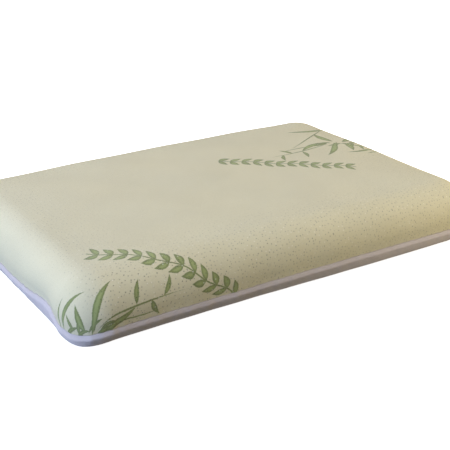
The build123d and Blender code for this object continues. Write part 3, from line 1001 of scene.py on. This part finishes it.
class PILLOW_OT_zip(bpy.types.Operator):
    """Make the zip's two woven tapes and its two nylon coils."""

    bl_idname = "pillow.zip"
    bl_label = "Zip Tapes and Coils"
    bl_options = {"REGISTER", "UNDO"}

    def execute(self, context):
        sizes, _, colours, _ = settings()
        finish = tape_finish(colours)
        nylon = nylon_finish(colours)
        back = COIL_LOW.y
        behind = sizes.short_side / 2 - back
        travel = next(j for j in frame["joints"] if j["name"] == "zip_slide")["range_m"][1]
        for name, up, coil_node, tape_node in (
            ("upper", 1, "zip_coil_upper", "zip_tape_upper"),
            ("lower", -1, "zip_coil_lower", "zip_tape_lower"),
        ):
            # a tape stands straight up from the zip; below it, it follows the foot's quarter round
            low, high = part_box(tape_node)
            inner, outer = (low.z, high.z) if up > 0 else (high.z, low.z)
            z = np.linspace(inner, outer, 19)[:, None]
            half = TAPE_HIGH.x - TAPE_THICK
            x = np.linspace(-half, half, 121)[None, :]
            round_in = sizes.foot - behind
            under = np.clip(z - sizes.foot, None, 0) if up < 0 else 0 * z
            y = back - (round_in - np.sqrt(round_in**2 - under**2))
            points = np.stack(np.broadcast_arrays(x, y, z), -1).reshape(-1, 3)
            tape = fill_mesh(f"zip_tape_{name}_woven", points, quads(19, 121, False))
            facing = tape.data.polygons[0].normal.y
            thicken(tape, TAPE_THICK, -1.0 if facing > 0 else 1.0)
            dress(tape, finish, "pillow", "zip_tape", tape_node)
            # a coil is an oval helix that leans a little, half a loop off the other coil
            pitch = travel / SLIDER_LOOPS
            turns = int((COIL_HIGH.x - COIL_LOW.x - 0.002) / pitch)
            angle = np.linspace(0, 2 * np.pi * turns, 10 * turns)
            start = COIL_LOW.x + 0.001 + (pitch / 2 if up < 0 else 0)
            path = np.stack(
                [
                    start + pitch * angle / (2 * np.pi) + COIL_LEAN * np.sin(2 * angle),
                    back + 0.0012 - COIL_DEEP * np.cos(angle),
                    sizes.seam + up * COIL_TALL * (1 + np.sin(angle)),
                ],
                1,
            )
            axis = np.tile([1.0, 0.0, 0.0], (len(path), 1))
            coil = capped(f"zip_coil_{name}_nylon", tube(path, axis, COIL_THREAD, 6))
            dress(coil, nylon, "pillow", "zip_coil", coil_node)
        return {"FINISHED"}


def stitch_line(name, x, y, z, long, thick):
    """A row of stitches, each a small pointed bead: radius thick * sqrt(1 - t^2) round a line of
    half length long along X."""
    rings, sides = 5, 6
    across = np.linspace(-1, 1, rings + 2)[1:-1]
    turn = 2 * np.pi * np.arange(sides) / sides
    radius = thick * np.sqrt(1 - across**2)
    one = np.stack(
        [
            np.repeat(long * across, sides),
            np.outer(radius, np.cos(turn)).ravel(),
            np.outer(radius, np.sin(turn)).ravel(),
        ],
        1,
    )
    one = np.concatenate([one, [[-long, 0, 0], [long, 0, 0]]])
    this, following = np.arange(sides), (np.arange(sides) + 1) % sides
    last, pole = (rings - 1) * sides, rings * sides
    low = np.stack([np.full(sides, pole), following, this], 1)
    high = np.stack([np.full(sides, pole + 1), last + this, last + following], 1)
    centres = np.stack([x, y, z], 1)
    points = (centres[:, None] + one[None]).reshape(-1, 3)
    shift = (len(one) * np.arange(len(x)))[:, None, None]
    four = (quads(rings, sides)[None] + shift).reshape(-1, 4)
    three = (np.concatenate([low, high])[None] + shift).reshape(-1, 3)
    return fill_mesh(name, points, four, three)


# the overlock thread inside the seam: an oval helix along the outline
LOOP = 0.0026
LOOP_IN, LOOP_DEEP = 0.0044, 0.0010  # distance inside the outline, and how far it swings
LOOP_UP, LOOP_TALL = 0.0048, 0.0024  # height above the seam, and how far it swings


class PILLOW_OT_stitching(bpy.types.Operator):
    """Make the overlocked edge inside the seam and the two rows of stitches along the zip."""

    bl_idname = "pillow.stitching"
    bl_label = "Seam Stitching"
    bl_options = {"REGISTER", "UNDO"}

    def execute(self, context):
        sizes, drape, colours, _ = settings()
        face = Face(sizes, 1)
        gap = (face.out[:, 1] > ZIP_SIDE) & (np.abs(face.core[:, 0]) < sizes.slot_half + 0.010)
        first = np.flatnonzero(~gap & np.roll(gap, 1))[0]
        order = (first + np.arange((~gap).sum())) % len(gap)
        line, away = face.edge[order], face.out[order]
        hop = np.concatenate([[0], np.cumsum(np.linalg.norm(np.diff(line, axis=0), axis=1))])
        fine = np.linspace(0, hop[-1], 9 * int(hop[-1] / LOOP))

        def finer(values):
            """The rows of values, interpolated along the line."""
            return np.stack([np.interp(fine, hop, column) for column in values.T], 1)

        away = finer(away)
        away /= np.linalg.norm(away, axis=1, keepdims=True)
        angle = 2 * np.pi * fine / LOOP
        plan = finer(line) - away * (LOOP_IN + LOOP_DEEP * np.cos(angle))[:, None]
        z = sizes.seam + LOOP_UP + LOOP_TALL * np.sin(angle)
        path = np.concatenate([plan, z[:, None]], 1)
        # the thread moves with the knit that it holds, 4 mm above the seam
        height = np.full((1, len(gap)), 0.004)
        still = face.at(height)[0]
        path += finer((settle(still, height, face, drape) - still)[0][order])
        along = np.stack([-away[:, 1], away[:, 0], np.zeros(len(away))], 1)
        seam = capped("cover_overlock", tube(path, along, 0.0002, 4))
        finish = thread_finish("overlock_thread", colours.thread)
        dress(seam, finish, "pillow", "seam_thread", "cover_seam_thread")
        for name, node, slot, tint in (
            ("upper", "zip_stitching_upper", "top_thread", colours.cream),
            ("lower", "zip_stitching_lower", "bottom_thread", colours.thread),
        ):
            # stitches 3 mm apart and 2.5 mm long, on the knit's face
            low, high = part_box(node)
            x = np.arange(low.x + 0.002, high.x - 0.002, 0.0030)
            z = (low.z + high.z) / 2 + 0.00006 * np.sin(x * 900)
            below = np.clip(sizes.foot - z, 0, None)
            y = sizes.short_side / 2 - (sizes.foot - np.sqrt(sizes.foot**2 - below**2)) + 0.00005
            row = stitch_line(f"zip_stitches_{name}", x, y, z, long=0.00125, thick=0.00026)
            finish = thread_finish(f"zip_thread_{name}", tint)
            dress(row, finish, "pillow", slot, node)
        return {"FINISHED"}


class PILLOW_OT_label(bpy.types.Operator):
    """Make the blank satin label that hangs from the seam."""

    bl_idname = "pillow.label"
    bl_label = "Blank Label"
    bl_options = {"REGISTER", "UNDO"}

    def execute(self, context):
        sizes, _, colours, _ = settings()
        rows, columns = 15, 21
        drop = np.linspace(0, 1, rows)[:, None]
        y = np.linspace(LABEL_LOW.y, LABEL_HIGH.y, columns)[None, :]
        # it drops straight for 1 mm, then follows the foot's round, and stands off more and more
        straight = sizes.seam - sizes.foot
        u = drop * (sizes.seam - LABEL_LOW.z + 0.0005)
        turn = np.clip((u - straight) / sizes.foot, 0, None)
        stand = 0.0004 + 0.0016 * drop**2 + 0.0003 * np.sin(y * 260) * drop
        inset = sizes.foot * (1 - np.cos(turn)) - stand * np.cos(turn) + 0.0006 * (1 - drop) ** 4
        x = sizes.long_side / 2 - inset
        z = sizes.seam - np.minimum(u, straight) - (sizes.foot + stand) * np.sin(turn)
        points = np.stack(np.broadcast_arrays(x, y, z), -1).reshape(-1, 3)
        middle = (LABEL_LOW.y + LABEL_HIGH.y) / 2
        cloth = np.stack(np.broadcast_arrays(y - middle, u, u), -1).reshape(-1, 3)
        label = fill_mesh("care_label_blank", points, quads(rows, columns, False), None, cloth)
        facing = label.data.polygons[0].normal.x
        thicken(label, 0.0004, -1.0 if facing > 0 else 1.0)
        dress(label, satin_finish(colours), "pillow", "label_satin", "care_label")
        return {"FINISHED"}


class PILLOW_OT_fittings(bpy.types.Operator):
    """Finish the zip's slider, pull and stops."""

    bl_idname = "pillow.fittings"
    bl_label = "Zip Fittings"
    bl_options = {"REGISTER", "UNDO"}

    def execute(self, context):
        colours = settings()[2]
        enamel = enamel_finish(colours)
        for name in ("zip_slider", "zip_pull", "zip_top_stops", "zip_bottom_stop"):
            node = frame["nodes"][name]
            node.data.materials.clear()
            node.data.materials.append(enamel)
        return {"FINISHED"}


# each lamp's name, place, target, size, power in watts, and colour: cold light from the left, white
# light from above and behind, and low warm light from the right
LAMPS = (
    ("window", (-2.2, -0.4, 0.55), (-0.2, 0, 0.05), (1.4, 1.0), 67.5, (0.565, 0.695, 1.0)),
    ("overhead", (0.0, 0.30, 2.3), (0, 0, 0), (2.4, 1.9), 43.5, (0.89, 0.885, 0.95)),
    ("low", (0.90, -0.76, 0.17), (0.22, -0.2, 0.02), (0.35, 0.16), 8.3, (1.0, 0.87, 0.62)),
    ("back", (-0.2, 1.9, 0.5), (0, 0.2, 0.03), (1.8, 0.7), 14, (1.0, 0.98, 0.94)),
)


def area_light(name, place, target, size, power, tint):
    """A soft rectangular lamp that points at a target."""
    lamp = bpy.data.lights.new(name, "AREA")
    lamp.shape = "RECTANGLE"
    lamp.size, lamp.size_y = size
    lamp.energy = power
    lamp.color = tint
    made = bpy.data.objects.new(name, lamp)
    made.location = place
    towards = Vector(target) - Vector(place)
    made.rotation_euler = towards.to_track_quat("-Z", "Y").to_euler()
    made.visible_camera = False
    bpy.context.scene.collection.objects.link(made)
    return made


def seen_and_felt(nodes, links, seen, felt, output):
    """Mixes two shaders: what the camera sees directly, and what everything else is lit by."""
    ray = nodes.new("ShaderNodeLightPath")
    mixer = nodes.new("ShaderNodeMixShader")
    links.new(ray.outputs["Is Camera Ray"], mixer.inputs[0])
    links.new(felt.outputs[0], mixer.inputs[1])
    links.new(seen.outputs[0], mixer.inputs[2])
    links.new(mixer.outputs[0], output.inputs["Surface"])


class PILLOW_OT_stage(bpy.types.Operator):
    """Make the floor, the light and the camera."""

    bl_idname = "pillow.stage"
    bl_label = "Floor, Light and Camera"
    bl_options = {"REGISTER", "UNDO"}

    def execute(self, context):
        scene = context.scene
        stage = settings()[3]
        half, below = 6.0, 0.0003
        plan = half * np.array([[-1, -1], [1, -1], [1, 1], [-1, 1]])
        corners = np.concatenate([plan, np.full((4, 1), -below)], 1)
        floor = fill_mesh("floor", corners, np.array([[0, 1, 2, 3]]))
        paint = Paint(
            "pale_floor",
            Roughness=0.9,
            Base_Color=(0.82, 0.82, 0.82, 1),
            Emission_Color=(1, 1, 1, 1),
            Emission_Strength=0.94,
        )
        # the floor throws back little light, so the pillow's lower edge stays in shade
        matt = paint.nodes.new("ShaderNodeBsdfDiffuse")
        matt.inputs["Color"].default_value = (0.06, 0.057, 0.054, 1)
        output = paint.nodes["Material Output"]
        seen_and_felt(paint.nodes, paint.links, paint.shader, matt, output)
        floor.data.materials.append(paint.material)
        scene.view_settings.view_transform = "Standard"
        scene.view_settings.look = "None"
        world = bpy.data.worlds.new("studio")
        world.use_nodes = True
        nodes = world.node_tree.nodes
        white, dim = nodes["Background"], nodes.new("ShaderNodeBackground")
        for light, tint, strength in (
            (white, (1, 1, 1, 1), 1.0),
            (dim, (1.0, 0.80, 0.35, 1), 0.11),
        ):
            light.inputs["Color"].default_value = tint
            light.inputs["Strength"].default_value = strength
        seen_and_felt(nodes, world.node_tree.links, white, dim, nodes["World Output"])
        scene.world = world
        for name, place, target, size, power, tint in LAMPS:
            area_light(name, place, target, size, power, tint)
        camera = bpy.data.cameras.new("camera")
        camera.lens = stage.lens
        camera.sensor_width = 36
        camera.clip_start, camera.clip_end = 0.02, 60
        seen = bpy.data.objects.new("camera", camera)
        seen.location = stage.eye
        ahead = Vector(
            (
                math.sin(stage.heading) * math.cos(stage.dip),
                math.cos(stage.heading) * math.cos(stage.dip),
                -math.sin(stage.dip),
            )
        )
        seen.rotation_euler = ahead.to_track_quat("-Z", "Y").to_euler()
        scene.collection.objects.link(seen)
        scene.camera = seen
        return {"FINISHED"}


class PILLOW_PT_panel(bpy.types.Panel):
    """Lists the pillow's sizes, colours and makers."""

    bl_label = "Foam Bed Pillow"
    bl_idname = "PILLOW_PT_panel"
    bl_space_type = "VIEW_3D"
    bl_region_type = "UI"
    bl_category = "Pillow"

    def draw(self, context):
        column = self.layout.column()
        for name, group in GROUPS.items():
            box = column.box()
            for prop in group.__annotations__:
                box.prop(getattr(context.scene, name), prop)
        for operator in OPERATORS:
            column.operator(operator.bl_idname)


OPERATORS = (
    PILLOW_OT_cover,
    PILLOW_OT_core,
    PILLOW_OT_zip,
    PILLOW_OT_stitching,
    PILLOW_OT_label,
    PILLOW_OT_fittings,
    PILLOW_OT_stage,
)
CLASSES = (*GROUPS.values(), *OPERATORS, PILLOW_PT_panel)


def register():
    for one in CLASSES:
        bpy.utils.register_class(one)
    for name, group in GROUPS.items():
        setattr(bpy.types.Scene, name, PointerProperty(type=group))


def unregister():
    for name in GROUPS:
        delattr(bpy.types.Scene, name)
    for one in reversed(CLASSES):
        bpy.utils.unregister_class(one)


def main():
    """Registers the classes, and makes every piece."""
    register()
    for operator in OPERATORS:
        group, name = operator.bl_idname.split(".")
        getattr(getattr(bpy.ops, group), name)()


if __name__ == "__main__":
    main()
